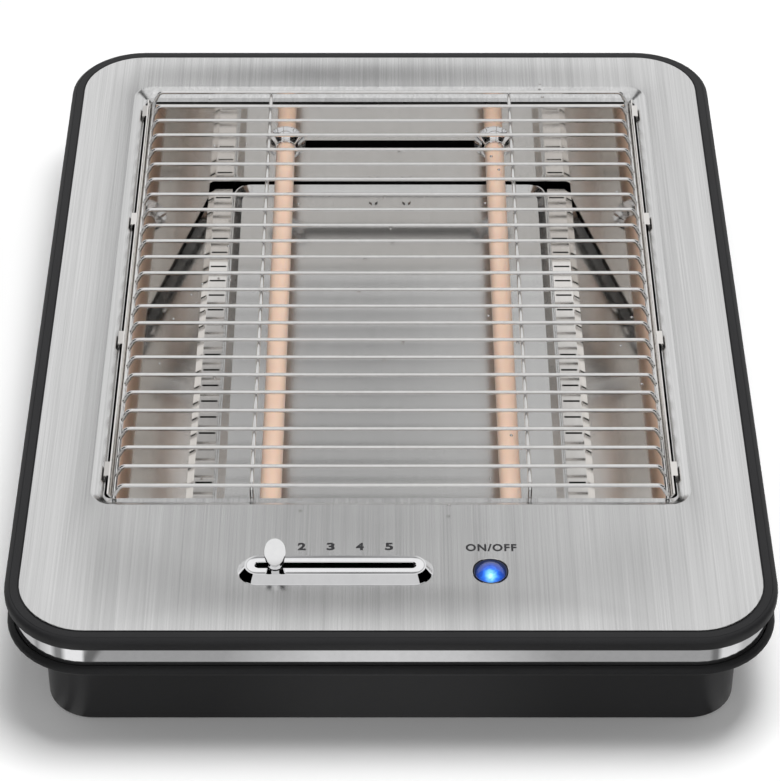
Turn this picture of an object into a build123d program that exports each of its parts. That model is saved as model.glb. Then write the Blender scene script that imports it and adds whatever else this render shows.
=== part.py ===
from build123d import *
from math import hypot, radians, tan
import os

# Flat electric toaster with an open wire rack, two quartz tubes and a crumb drawer.
# Millimetres. Z is 0 on the table, X runs left to right, Y from the user to the back.

# Steel top plate and the height of the body
plate_width = 272.0
plate_length = 365.4
plate_corner = 25.6
plate_thick = 0.8
body_height = 56.5
foot_stand = 0.8

# Black rim, bright band, and the lip of the housing, each as its reach past the plate
rim_reach = 5.5
rim_height = 4.75
rim_drop = 0.3
rim_gap = 0.5
rim_round = 2.2
rim_ledge = 9.0
rim_ledge_thick = 2.2
rim_skirt_thick = 2.4
band_reach = 3.0
band_height = 8.65
band_thick = 1.2
lip_height = 3.6
lip_wall = 2.0
lip_round = 1.7
fit_gap = 0.15

# Moulded housing
housing_side_inset = 7.0
housing_end_inset = 10.5
housing_corner = 18.0
housing_wall = 2.5
housing_edge = 1.0
foot_radius = 7.0
foot_sink = 1.2
foot_x = 100.0
foot_y = 145.0
rib_height = 1.0
rib_width = 2.0
vent_width = 4.0
vent_length = 26.0
vent_count = 7
vent_pitch = 34.0
vent_x = 104.0

# Opening drawn down in the plate
opening_width = 217.2
opening_front = -109.3
opening_back = 152.0
opening_corner = 2.5
drawn_depth = 3.0
drawn_slope = 4.5
front_land = 2.2
back_land = 3.0
side_land = 0.2
drawn_corner = 8.0

# Heating chamber, measured down from the top of the plate
chamber_front = -111.0
chamber_back = 150.5
sheet = 0.6
wall_half_width = 112.0
wall_bottom = 45.5
wall_top = 3.6
reflector_top_x = 106.9
reflector_top = 0.6
reflector_knee_x = 81.3
reflector_knee = 41.0
reflector_foot_x = 79.3
reflector_foot = 47.8
reflector_lip_x = 71.3
slot_pitch = 10.1
slot_length = 6.8
slot_width = 1.1
slot_count = 25
tab_count = 4
tab_pitch = 79.0
tab_length = 8.0
tab_reach = 2.4
vent_slot_width = 78.5
vent_slot_height = 5.5
vent_slot_down = 25.65

# Quartz tubes
tube_x = 46.7
tube_down = 24.2
tube_radius = 4.2
tube_wall = 0.9
tube_past_wall = 13.0
coil_gap = 0.9
ring_radius = 8.8
ring_cone = 5.0
ring_depth = 6.0
ring_edge = 0.5
wall_hole_radius = 6.2
cap_radius = 6.0
cap_length = 10.0
cap_grip = 7.0
bracket_width = 14.4
bracket_height = 18.0
bracket_sheet = 1.0

# Wire rack
wire_radius = 0.8
wire_up = 3.5
wire_pitch = 10.8
rack_length = 259.2
wire_front = -109.3
wire_half = 102.0
wire_foot_x = 104.4
wire_foot_down = 1.0
wire_bend = 2.4
long_wire_x = 52.6
long_wire_drop = 6.0
side_rod_x = 104.7
side_rod_radius = 0.9
side_rod_down = 2.05
rack_gap = 0.02

# Crumb drawer
tray_half_width = 70.3
tray_slant = 2.9
tray_floor_down = 50.0
tray_rim_down = 46.9
tray_corner = 8.0
tray_end_gap = 0.7
tray_tongue_half = 55.0
tray_play = 0.4
shield_half_width = 84.0
shield_bead_x = 55.0
shield_bead_width = 6.0
shield_bead_height = 1.5
rivet_x = 7.5
rivet_y = 141.0
rivet_radius = 1.2
rivet_head_radius = 2.0
front_half_width = 80.0
front_thick = 3.0
front_height = 15.0
plug_half_width = 74.0
plug_height = 9.4
plug_depth = 5.0
tongue_depth = 2.0
grip_half_width = 32.0
grip_reach = 10.0

# Browning slider
slider_y = -152.0
bezel_centre_x = -20.4
bezel_length = 71.8
bezel_width = 15.2
bezel_height = 3.0
bezel_slope = 2.75
slot_run = 58.9
slot_open = 3.0
knob_rest_x = -42.4
knob_radius = 3.9
knob_foot_radius = 3.1
knob_up = 9.9
knob_slant = 36.0
knob_clear = 0.3
neck_length = 5.0
neck_width = 2.5

# Power button
button_x = 36.5
button_y = -152.2
button_hole_radius = 6.1
button_bezel_radius = 6.8
button_mouth_radius = 6.5
button_throat_radius = 5.45
button_countersink = 1.6
lens_radius = 5.15
lens_down = 1.9
lens_dome = 4.2
lens_skirt = 4.0

# Control board under the plate
board_down = 14.0
board_thick = 1.6
board_left = -64.0
board_right = 54.0
board_front = -167.0
board_back = -132.0
standoff_radius = 2.5
standoff_inset = 4.0
pot_height = 6.5
pot_half_length = 38.0
pot_half_width = 4.5
lever_half_width = 1.5
lever_half_thick = 0.5
switch_half = 4.25
switch_height = 3.6
plunger_radius = 1.8
plunger_rest_gap = 1.9
spring_radius = 2.9
spring_wire = 0.35
spring_turns = 4
led_radius = 1.5
led_height = 3.4
led_offset = 7.5

# Screws
screw_radius = 1.4
screw_head_radius = 2.8
screw_head_height = 1.8
screw_bore_gap = 0.05
boss_radius = 3.8
boss_side_inset = 4.0
boss_end_inset = 5.0
post_radius = 4.0
post_x = 98.0
post_out = 6.0
wall_foot_z = 14.0
wall_foot_length = 12.0

# Where the supply cord goes in
inlet_x = -96.0
inlet_z = 24.0
inlet_radius = 6.0
inlet_bore = 3.3
inlet_flange = 8.0

# Heights that follow from the sizes above
plate_top = foot_stand + body_height
plate_under = plate_top - plate_thick
rim_bottom = plate_top - rim_height
rim_top = plate_top - rim_drop
band_bottom = rim_bottom - band_height
lip_bottom = band_bottom - lip_height
floor_top = foot_stand + housing_wall
tube_z = plate_top - tube_down
coil_radius = tube_radius - tube_wall - coil_gap
wire_z = plate_top + wire_up
rod_z = plate_top - side_rod_down
rack_back = wire_front + rack_length
wire_count = int(rack_length / wire_pitch + 0.01) + 1
tray_floor = plate_top - tray_floor_down
tray_rim = plate_top - tray_rim_down
shield_z = floor_top + rib_height
board_top = plate_top - board_down
housing_back = plate_length / 2 - housing_end_inset
plug_bottom = floor_top + tray_play
shield_front = chamber_front - 3.0
shield_back = housing_back - plug_depth - 0.5
pan_under = plate_top - drawn_depth - plate_thick


def outline(reach):
    """Plate outline grown by reach on every side."""
    return RectangleRounded(plate_width + 2 * reach, plate_length + 2 * reach, plate_corner + reach)


def tub_outline(reach):
    """Outline of the housing's tub, grown by reach on every side."""
    width = plate_width - 2 * housing_side_inset
    length = plate_length - 2 * housing_end_inset
    return RectangleRounded(width + 2 * reach, length + 2 * reach, housing_corner + reach)


def slab(sketch, low, high):
    return extrude(Pos(0, 0, low) * sketch, high - low)


def ring(outer_reach, inner_reach, low, high):
    return slab(outline(outer_reach), low, high) - slab(outline(inner_reach), low, high)


def block(x_low, x_high, y_low, y_high, z_low, z_high):
    centre = ((x_low + x_high) / 2, (y_low + y_high) / 2, (z_low + z_high) / 2)
    return Pos(*centre) * Box(x_high - x_low, y_high - y_low, z_high - z_low)


def rod_z_axis(x, y, low, high, radius):
    return Pos(x, y, (low + high) / 2) * Cylinder(radius, high - low)


def rod_y_axis(x, z, front, back, radius):
    return Pos(x, (front + back) / 2, z) * Rot(90, 0, 0) * Cylinder(radius, back - front)


def rectangle_between(x_low, x_high, y_low, y_high, corner):
    place = Pos((x_low + x_high) / 2, (y_low + y_high) / 2)
    return place * RectangleRounded(x_high - x_low, y_high - y_low, corner)


def mirrored(shape):
    return mirror(shape, Plane.YZ)


def bent_sheet(points, thick):
    """Closed outline of a sheet bent along points, with its thickness to the right of them."""
    other = []
    for i, (x, z) in enumerate(points):
        before = points[max(i - 1, 0)]
        after = points[min(i + 1, len(points) - 1)]
        here = (x, z)
        runs = [(b[0] - a[0], b[1] - a[1]) for a, b in ((before, here), (here, after)) if a != b]
        turns = [(dz / hypot(dx, dz), -dx / hypot(dx, dz)) for dx, dz in runs]
        nx = sum(t[0] for t in turns)
        nz = sum(t[1] for t in turns)
        scale = len(turns) * thick / (nx * nx + nz * nz)
        other.append((x + nx * scale, z + nz * scale))
    return list(points) + other[::-1]


def along_y(points, front, back):
    """Solid of an outline in X and Z, from front to back."""
    face = Plane.XZ * make_face(Polyline(*points, close=True))
    return Pos(0, back, 0) * extrude(face, back - front)


def boss_places():
    side_x = plate_width / 2 - boss_side_inset
    end_y = plate_length / 2 - boss_end_inset
    sides = [(s * side_x, y) for s in (-1, 1) for y in (-112.0, 112.0)]
    ends = [(x, s * end_y) for s in (-1, 1) for x in (-88.0, 88.0)]
    return sides + ends


def tab_places():
    """Bent tabs that hold the plate down, as centre, size along X and size along Y."""
    side_x = plate_width / 2 - boss_side_inset
    end_y = plate_length / 2 - boss_end_inset
    sides = [(s * side_x, y, plate_thick, 10.0) for s in (-1, 1) for y in (-60.0, 60.0)]
    ends = [(x, s * end_y, 10.0, plate_thick) for s in (-1, 1) for x in (-50.0, 50.0)]
    return sides + ends


def post_places():
    return [(s * post_x, y) for s in (-1, 1)
            for y in (chamber_front - post_out, chamber_back + post_out)]


def top_plate():
    half = opening_width / 2 + side_land
    low_face = (-half, half, opening_front - front_land, opening_back + back_land)
    high_face = (-half - drawn_slope, half + drawn_slope,
                 low_face[2] - drawn_slope, low_face[3] + drawn_slope)
    wide = rectangle_between(*high_face, drawn_corner)
    narrow = rectangle_between(*low_face, drawn_corner - drawn_slope)
    pan = loft([Pos(0, 0, plate_under) * wide, Pos(0, 0, pan_under) * narrow])
    pocket = loft([Pos(0, 0, plate_top) * wide, Pos(0, 0, pan_under + plate_thick) * narrow])
    opening = rectangle_between(-opening_width / 2, opening_width / 2, opening_front, opening_back,
                                opening_corner)
    plate = slab(outline(0), plate_under, plate_top) + pan - pocket
    plate -= slab(opening, pan_under - 1, plate_top + 1)
    spigot = SlotOverall(bezel_length - 2 * bezel_slope - 1.6, bezel_width - 2 * bezel_slope - 0.6)
    plate -= Pos(bezel_centre_x, slider_y) * slab(spigot, plate_under - 1, plate_top + 1)
    plate -= rod_z_axis(button_x, button_y, plate_under - 1, plate_top + 1, button_hole_radius)
    for x, y, size_x, size_y in tab_places():
        plate += Pos(x, y, plate_under - 2.5) * Box(size_x, size_y, 5.0)
    return plate


def upper_rim():
    rim = ring(rim_reach, 0, rim_bottom, rim_top)
    rim = fillet(rim.faces().sort_by(Axis.Z)[-1].outer_wire().edges(), rim_round)
    ledge = ring(0.5, -rim_ledge, plate_under - rim_ledge_thick, plate_under)
    skirt_outer = band_reach - band_thick - fit_gap
    skirt = ring(skirt_outer, skirt_outer - rim_skirt_thick, band_bottom, rim_top - 1.0)
    rim += ledge + skirt
    rim -= slab(outline(rim_gap), plate_under, plate_top + 1)
    for x, y in boss_places():
        rim += rod_z_axis(x, y, band_bottom, plate_under, boss_radius)
        rim -= rod_z_axis(x, y, band_bottom - 1, band_bottom + 8.5, screw_radius + screw_bore_gap)
    for x, y, size_x, size_y in tab_places():
        rim -= Pos(x, y, plate_under) * Box(size_x + 2 * fit_gap, size_y + 2 * fit_gap, 12.0)
    return rim


def trim_band():
    return ring(band_reach, band_reach - band_thick, band_bottom, rim_bottom)


def base_housing():
    tub = slab(tub_outline(0), foot_stand, band_bottom - lip_wall / 2)
    tub = chamfer(tub.faces().sort_by(Axis.Z)[0].edges(), housing_edge)
    lip = slab(outline(rim_reach), lip_bottom, band_bottom)
    lip = fillet(lip.edges().filter_by(Plane.XY), lip_round)
    lip -= slab(outline(rim_reach - lip_wall), lip_bottom - 1, band_bottom - lip_wall)
    housing = tub + lip
    housing -= slab(tub_outline(-housing_wall), floor_top, band_bottom + 1)
    for side in (-1, 1):
        for x in (30.0, 68.0):
            housing += block(side * x - rib_width / 2, side * x + rib_width / 2,
                             shield_front, shield_back, floor_top - 0.5, shield_z)
        for i in range(vent_count):
            y = (i - (vent_count - 1) / 2) * vent_pitch
            vent = Pos(side * vent_x, y) * Rot(0, 0, 90) * SlotOverall(vent_length, vent_width)
            housing -= slab(vent, foot_stand - 1, floor_top + 1)
        for y in (-foot_y, foot_y):
            housing -= rod_z_axis(side * foot_x, y, foot_stand - 1, foot_stand + foot_sink, foot_radius)
    for x, y in post_places():
        housing += rod_z_axis(x, y, floor_top - 0.5, wall_foot_z, post_radius)
        housing -= rod_z_axis(x, y, wall_foot_z - 9, wall_foot_z + 1, screw_radius + screw_bore_gap)
    for x, y in boss_places():
        housing -= rod_z_axis(x, y, band_bottom - 5, band_bottom + 1, screw_radius + 0.3)
    gap = plug_half_width + tray_play
    housing -= block(-gap, gap, housing_back - housing_wall - 1, housing_back + 1,
                     floor_top, plug_bottom + plug_height + tray_play)
    housing -= rod_y_axis(inlet_x, inlet_z, housing_back - housing_wall - 1, housing_back + 1,
                          inlet_radius)
    return housing


def end_wall(inner_y, outward, top):
    """Sheet wall at one end of the chamber; outward is -1 at the front and 1 at the back."""
    low = plate_top - wall_bottom
    edge = opening_width / 2 - 1.2
    step = shield_half_width + 1.0
    right = [(step, low), (step, wall_foot_z), (wall_half_width, wall_foot_z),
             (wall_half_width, top - 8.0), (edge, top)]
    points = right + [(-x, z) for x, z in right[::-1]]
    outer_y = inner_y + outward * sheet
    wall = along_y(points, min(inner_y, outer_y), max(inner_y, outer_y))
    for side in (-1, 1):
        foot_low, foot_high = sorted((inner_y, inner_y + outward * wall_foot_length))
        foot = block(side * post_x - 10, side * post_x + 10, foot_low, foot_high,
                     wall_foot_z, wall_foot_z + sheet)
        foot -= rod_z_axis(side * post_x, inner_y + outward * post_out, wall_foot_z - 1,
                           wall_foot_z + 2, screw_radius + 0.1)
        wall += foot
        wall -= rod_y_axis(side * tube_x, tube_z, inner_y - 2, inner_y + 2, wall_hole_radius)
    return wall


def rear_wall():
    wall = end_wall(chamber_back, 1, plate_top - wall_top)
    z = plate_top - vent_slot_down
    half = vent_slot_width / 2
    return wall - block(-half, half, chamber_back - 1, chamber_back + 2,
                        z - vent_slot_height / 2, z + vent_slot_height / 2)


def front_wall():
    return end_wall(chamber_front, -1, pan_under - 0.3)


def side_reflector_right():
    """Mirror sheet that slopes up from the drawer to the edge of the opening."""
    points = [(reflector_lip_x, plate_top - reflector_foot),
              (reflector_foot_x, plate_top - reflector_foot),
              (reflector_knee_x, plate_top - reflector_knee),
              (reflector_top_x, plate_top - reflector_top)]
    front = chamber_front + 0.1
    back = chamber_back - 0.1
    reflector = along_y(bent_sheet(points, sheet), front, back)
    reflector -= block(reflector_top_x - 5, reflector_top_x + 2, front - 1, opening_front + 0.2,
                       pan_under - 0.3, plate_top)
    middle = (reflector_lip_x + reflector_foot_x) / 2
    first = back - (back - front - (slot_count - 1) * slot_pitch) / 2
    for i in range(slot_count):
        y = first - i * slot_pitch
        reflector -= Pos(middle, y, plate_top - reflector_foot) * Box(slot_length, slot_width, 3.0)
    centre = (front + back) / 2 + 4.0
    z = plate_top - reflector_top - 0.5
    for i in range(tab_count):
        y = centre + (i - (tab_count - 1) / 2) * tab_pitch
        reflector += block(reflector_top_x + 0.3, reflector_top_x + tab_reach,
                           y - tab_length / 2, y + tab_length / 2, z - 0.35, z + 0.15)
    return reflector


def quartz_tube(side):
    front = chamber_front - tube_past_wall
    back = chamber_back + tube_past_wall
    tube = rod_y_axis(side * tube_x, tube_z, front, back, tube_radius)
    return tube - rod_y_axis(side * tube_x, tube_z, front - 1, back + 1, tube_radius - tube_wall)


def heating_coil(side):
    """Resistance winding that fills the tube, with its straight tails inside the end caps."""
    front = chamber_front - tube_past_wall - 0.2
    back = chamber_back + tube_past_wall + 0.2
    coil = rod_y_axis(side * tube_x, tube_z, front + 10, back - 10, coil_radius)
    return coil + rod_y_axis(side * tube_x, tube_z, front, back, 0.7)


def each_tube_end():
    """X, inner face of the wall, and the way out of the chamber, for the four tube ends."""
    return [(side * tube_x, y, out) for side in (-1, 1)
            for y, out in ((chamber_front, -1), (chamber_back, 1))]


def revolved_along_y(points, x, z, y, out):
    """Turns an outline of radius and depth about a tube's line; depth grows out of the chamber."""
    profile = make_face(Polyline(*[(r, 0, d) for r, d in points], close=True))
    turned = revolve(profile, Axis.Z, 360)
    return Pos(x, y, z) * Rot(-90 * out, 0, 0) * turned


def tube_rings():
    """Polished bell-shaped collars that line the holes in the end walls."""
    bore = tube_radius + 0.2
    seat = wall_hole_radius - 0.1
    bell = [(ring_cone + (ring_radius - ring_cone) * share ** 2, -ring_edge - (ring_depth - ring_edge)
             * (1 - share)) for share in (0.0, 0.35, 0.6, 0.8, 1.0)]
    points = [(bore, -ring_depth)] + bell
    points += [(ring_radius, 0.0), (seat, 0.0), (seat, 2.0), (bore, 2.0)]
    return [revolved_along_y(points, x, tube_z, y, out) for x, y, out in each_tube_end()]


def end_caps():
    """Ceramic caps on the ends of the tubes."""
    start = tube_past_wall - cap_grip
    end = start + cap_length
    bore = tube_radius + 0.05
    points = [(bore, start), (cap_radius, start), (cap_radius, end - 1), (cap_radius - 1, end),
              (1.6, end), (1.6, tube_past_wall + 0.1), (bore, tube_past_wall + 0.1)]
    return [revolved_along_y(points, x, tube_z, y, out) for x, y, out in each_tube_end()]


def tube_terminals():
    """Pins out of the end caps, each with a flat blade for its lead."""
    start = tube_past_wall + 0.3
    end = tube_past_wall - cap_grip + cap_length + 2.0
    result = []
    for x, y, out in each_tube_end():
        low, high = sorted((y + out * start, y + out * end))
        pin = rod_y_axis(x, tube_z, low, high, 1.5)
        tip_low, tip_high = sorted((y + out * (end - 0.8), y + out * end))
        result.append(pin + block(x - 3.15, x + 3.15, tip_low, tip_high, tube_z - 1, tube_z + 9))
    return result


def tube_brackets():
    """Sheet brackets on the end walls that carry the ceramic caps."""
    result = []
    half = bracket_height / 2
    plane = tube_past_wall - cap_grip + 2.0
    for x, y, out in each_tube_end():
        left, right = x - bracket_width / 2, x + bracket_width / 2
        face_low, face_high = sorted((y + out * plane, y + out * (plane + bracket_sheet)))
        leg_low, leg_high = sorted((y + out * sheet, y + out * (plane + bracket_sheet)))
        toe_low, toe_high = sorted((y + out * sheet, y + out * (sheet + bracket_sheet)))
        bracket = block(left, right, face_low, face_high, tube_z - half, tube_z + half)
        for up in (-1, 1):
            inner, outer = sorted((tube_z + up * (half - bracket_sheet), tube_z + up * half))
            bracket += block(left, right, leg_low, leg_high, inner, outer)
            inner, outer = sorted((tube_z + up * (half - bracket_sheet), tube_z + up * (half + 5)))
            bracket += block(left, right, toe_low, toe_high, inner, outer)
        bracket -= rod_y_axis(x, tube_z, y - 30, y + 30, cap_radius + 0.05)
        result.append(bracket)
    return result


def bent_rod(points, radius, bend):
    """Round wire along straight runs with rounded corners."""
    path = FilletPolyline(*points, radius=bend)
    start = path @ 0
    section = Plane(origin=start, z_dir=path % 0) * Circle(radius)
    return sweep(section, path=path)


def rack_cross_wires():
    foot = plate_top - wire_foot_down
    result = []
    for i in range(wire_count):
        y = wire_front + i * wire_pitch
        points = [(-wire_foot_x, y, foot), (-wire_half, y, wire_z), (wire_half, y, wire_z),
                  (wire_foot_x, y, foot)]
        result.append(bent_rod(points, wire_radius, wire_bend))
    return result


def rack_long_wires():
    z = wire_z - 2 * wire_radius - rack_gap
    front = opening_front + wire_radius + 0.2
    back = rack_back + wire_radius
    result = []
    for side in (-1, 1):
        x = side * long_wire_x
        points = [(x, front, z - long_wire_drop), (x, front + 0.4, z), (x, back, z)]
        result.append(bent_rod(points, wire_radius, wire_bend))
    return result


def rack_side_rods():
    return [rod_y_axis(side * side_rod_x, rod_z, wire_front - 1.0, rack_back + 1.0, side_rod_radius)
            for side in (-1, 1)]


def heat_shield():
    """Pan between the drawer and the housing, with beads that the drawer runs on."""
    low = shield_z
    half = shield_half_width
    front = shield_front
    back = shield_back
    pan = block(-half, half, front, back, low, low + sheet)
    pan += block(-half, half, front, front + sheet, low, low + 5.0)
    for side in (-1, 1):
        inner = side * (half - sheet)
        pan += block(min(inner, side * half), max(inner, side * half), front, back, low, low + 7.0)
        x = side * shield_bead_x
        bead = [(x - shield_bead_width / 2, low + sheet), (x + shield_bead_width / 2, low + sheet),
                (x + 1.5, low + sheet + shield_bead_height), (x - 1.5, low + sheet + shield_bead_height)]
        pan += along_y(bead, front + 8, back)
    pan -= block(-6, 6, 118.0, 123.0, low - 1, low + 2)
    return pan


def tray_runner(side):
    """Angle strip on the pan that guides one edge of the drawer."""
    low = shield_z + sheet
    inner = tray_half_width + tray_play
    front = shield_front + 1.0
    back = shield_back - 0.3
    web = block(inner, inner + sheet, front, back, low, tray_rim - 2.0)
    foot = block(inner, inner + 8.0, front, back, low, low + sheet)
    runner = web + foot
    return runner if side > 0 else mirrored(runner)


def crumb_tray():
    front = chamber_front + tray_end_gap
    back = chamber_back - tray_end_gap + 0.4
    half = tray_half_width
    slant = tray_slant
    under = tray_floor - sheet
    outer_low = rectangle_between(-half + slant, half - slant, front + slant, back - slant,
                                  tray_corner - slant)
    outer_high = rectangle_between(-half, half, front, back, tray_corner)
    inset = sheet
    inner_low = rectangle_between(-half + slant + inset, half - slant - inset,
                                  front + slant + inset, back - slant - inset,
                                  tray_corner - slant - inset)
    inner_high = rectangle_between(-half + inset, half - inset, front + inset, back - inset,
                                   tray_corner - inset)
    tray = loft([Pos(0, 0, under) * outer_low, Pos(0, 0, tray_rim) * outer_high])
    tray -= loft([Pos(0, 0, tray_floor) * inner_low, Pos(0, 0, tray_rim) * inner_high])
    tongue = block(-tray_tongue_half, tray_tongue_half, back - 0.5,
                   housing_back - plug_depth + tongue_depth,
                   tray_rim - sheet, tray_rim)
    tray += tongue
    for side in (-1, 1):
        tray -= rod_z_axis(side * rivet_x, rivet_y, under - 1, tray_floor + 1, rivet_radius + 0.05)
    return tray


def tray_rivets():
    under = tray_floor - sheet
    result = []
    for side in (-1, 1):
        x = side * rivet_x
        rivet = rod_z_axis(x, rivet_y, under - 0.7, tray_floor + 0.2, rivet_radius)
        head = rod_z_axis(x, rivet_y, tray_floor, tray_floor + 0.7, rivet_head_radius)
        tail = rod_z_axis(x, rivet_y, under - 0.9, under - 0.4, rivet_radius + 0.5)
        result.append(rivet + head + tail)
    return result


def tray_catch():
    """Leaf spring under the drawer, with a bump that clicks into the pan."""
    under = tray_floor - sheet
    leaf = 0.4
    spring = block(-12, 12, rivet_y - 5, rivet_y + 5, under - leaf, under)
    blade = [(112.0, under), (118.0, under), (119.5, under - 0.8), (121.5, under - 0.8),
             (123.0, under), (rivet_y - 4.0, under), (rivet_y - 4.0, under - leaf),
             (123.2, under - leaf), (121.7, under - 0.8 - leaf), (119.3, under - 0.8 - leaf),
             (117.8, under - leaf), (112.0, under - leaf)]
    face = Plane.YZ * make_face(Polyline(*blade, close=True))
    spring += Pos(-4, 0, 0) * extrude(face, 8.0)
    for side in (-1, 1):
        spring -= rod_z_axis(side * rivet_x, rivet_y, under - 2, under + 1, rivet_radius + 0.05)
    return spring


def tray_front():
    """Moulded face of the drawer with a ledge to pull it by."""
    outer = housing_back + tray_play + front_thick
    low = foot_stand + 1.0
    face = rectangle_between(-front_half_width, front_half_width, low, low + front_height, 3.0)
    panel = Pos(0, outer, 0) * extrude(Plane.XZ * face, front_thick)
    plug = block(-plug_half_width, plug_half_width, housing_back - plug_depth,
                 housing_back + tray_play + 0.5, plug_bottom, plug_bottom + plug_height)
    front = panel + plug
    tongue_gap = 0.05
    front -= block(-tray_tongue_half - 0.3, tray_tongue_half + 0.3, housing_back - plug_depth - 1.0,
                   housing_back - plug_depth + tongue_depth + tongue_gap,
                   tray_rim - sheet - tongue_gap, tray_rim + tongue_gap)
    top = low + front_height
    reach = outer + grip_reach
    ledge = [(outer - 1.0, top), (reach - 1.2, top), (reach, top - 1.2), (reach, top - 4.2),
             (reach - 1.6, top - 4.2), (reach - 1.6, top - 2.6), (outer - 1.0, top - 3.4)]
    profile = Plane.YZ * make_face(Polyline(*ledge, close=True))
    front += Pos(-grip_half_width, 0, 0) * extrude(profile, 2 * grip_half_width)
    return front


def slider_bezel():
    """Raised bright frame round the slot of the browning slider."""
    wide = SlotOverall(bezel_length, bezel_width)
    narrow = SlotOverall(bezel_length - 2 * bezel_slope, bezel_width - 2 * bezel_slope)
    spigot = SlotOverall(bezel_length - 2 * bezel_slope - 2.0, bezel_width - 2 * bezel_slope - 1.0)
    bezel = loft([Pos(0, 0, plate_top) * wide, Pos(0, 0, plate_top + bezel_height) * narrow])
    bezel += slab(spigot, plate_under - 1.2, plate_top)
    bezel -= slab(SlotOverall(slot_run, slot_open), plate_under - 3, plate_top + 5)
    return Pos(bezel_centre_x, slider_y) * bezel


def slider_knob():
    """Round knob cut off at a slant, on a flat neck that runs in the slot."""
    low = plate_top + bezel_height + knob_clear
    high = plate_top + knob_up
    rise = knob_radius * tan(radians(knob_slant)) + 1
    wide = knob_radius + (knob_radius - knob_foot_radius) * rise / (high - low)
    outline = [(0, low), (knob_foot_radius, low), (wide, high + rise), (0, high + rise)]
    knob = revolve(make_face(Polyline(*[(r, 0, z) for r, z in outline], close=True)), Axis.Z, 360)
    cutter = Pos(0, 0, high) * Rot(knob_slant, 0, 0) * Pos(0, 0, 10) * Box(30, 30, 20)
    knob -= cutter
    knob = fillet(knob.edges().filter_by(lambda e: e.bounding_box().max.Z < low + 0.1), 0.5)
    tick = Pos(0, 0, high) * Rot(knob_slant, 0, 0) * Pos(0, 3.0, 0) * Box(0.45, 2.2, 0.5)
    knob -= tick
    knob += block(-neck_length / 2, neck_length / 2, -neck_width / 2, neck_width / 2,
                  plate_under - 3.0, low + 1)
    socket_x = lever_half_width + 0.1
    socket_y = lever_half_thick + 0.1
    knob -= block(-socket_x, socket_x, -socket_y, socket_y, plate_under - 4.0, plate_under + 0.5)
    return Pos(knob_rest_x, slider_y, 0) * knob


def slide_potentiometer():
    """Body of the linear potentiometer, with the groove that its lever runs in."""
    pot = block(-pot_half_length, pot_half_length, -pot_half_width, pot_half_width,
                board_top, board_top + pot_height)
    pot -= block(-slot_run / 2 + 0.2, slot_run / 2 - 0.2, -0.9, 0.9, board_top + 1.2,
                 board_top + pot_height + 1)
    return Pos(bezel_centre_x, slider_y, 0) * pot


def slider_lever():
    """Metal lever of the potentiometer, which carries the knob."""
    lever = block(-lever_half_width, lever_half_width, -lever_half_thick, lever_half_thick,
                  board_top + 1.6, plate_under + 0.3)
    return Pos(knob_rest_x, slider_y, 0) * lever


def button_bezel():
    """Bright countersunk ring that the button sits in."""
    low = plate_top - 7.0
    points = [(button_mouth_radius, plate_top + 0.2), (button_bezel_radius, plate_top + 0.2),
              (button_bezel_radius, plate_top), (button_hole_radius - 0.05, plate_top),
              (button_hole_radius - 0.05, low), (button_throat_radius, low),
              (button_throat_radius, plate_top - button_countersink)]
    ring_face = make_face(Polyline(*[(r, 0, z) for r, z in points], close=True))
    return Pos(button_x, button_y, 0) * revolve(ring_face, Axis.Z, 360)


def button_lens():
    """Domed lens of the power button, hollow below for its plunger."""
    edge = plate_top - lens_down
    radius = (lens_radius ** 2 + lens_dome ** 2) / (2 * lens_dome)
    dome = Pos(0, 0, edge + lens_dome - radius) * Sphere(radius)
    dome &= rod_z_axis(0, 0, edge - 0.01, edge + lens_dome + 1, lens_radius)
    lens = dome + rod_z_axis(0, 0, edge - lens_skirt, edge, lens_radius)
    lens -= rod_z_axis(0, 0, edge - lens_skirt - 1, edge - 1.2, lens_radius - 1.0)
    return Pos(button_x, button_y, 0) * lens


def button_plunger():
    """Stem under the lens that works the switch."""
    edge = plate_top - lens_down
    low = board_top + switch_height + plunger_rest_gap
    plunger = rod_z_axis(0, 0, edge - 2.9, edge - 1.25, lens_radius - 1.1)
    plunger += rod_z_axis(0, 0, low, edge - 2.8, plunger_radius)
    return Pos(button_x, button_y, 0) * plunger


def button_spring():
    """Return spring between the switch and the plunger's collar."""
    low = board_top + switch_height + spring_wire + 0.05
    high = plate_top - lens_down - 2.9 - spring_wire - 0.05
    path = Helix(pitch=(high - low) / spring_turns, height=high - low, radius=spring_radius)
    start = path @ 0
    section = Plane(origin=start, z_dir=path % 0) * RegularPolygon(spring_wire, 6)
    spring = sweep(section, path=path, is_frenet=True)
    return Pos(button_x, button_y, low) * spring


def push_switch():
    switch = block(-switch_half, switch_half, -switch_half, switch_half, board_top,
                   board_top + switch_height)
    switch -= rod_z_axis(0, 0, board_top + 0.8, board_top + switch_height + 1, plunger_radius + 0.2)
    return Pos(button_x, button_y, 0) * switch


def status_led():
    """Blue light that shines up into the lens."""
    x = button_x + led_offset
    led = rod_z_axis(x, button_y, board_top, board_top + led_height, led_radius)
    led += Pos(x, button_y, board_top + led_height) * Sphere(led_radius)
    led += rod_z_axis(x, button_y, board_top, board_top + 0.8, led_radius + 0.4)
    return led


def control_board():
    board = block(board_left, board_right, board_front, board_back, board_top - board_thick, board_top)
    for x, y in standoff_places():
        board -= rod_z_axis(x, y, board_top - 3, board_top + 1, screw_radius + 0.1)
    return board


def standoff_places():
    left, right = board_left + standoff_inset, board_right - standoff_inset
    front, back = board_front + standoff_inset, board_back - standoff_inset
    return [(x, y) for x in (left, right) for y in (front, back)]


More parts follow.
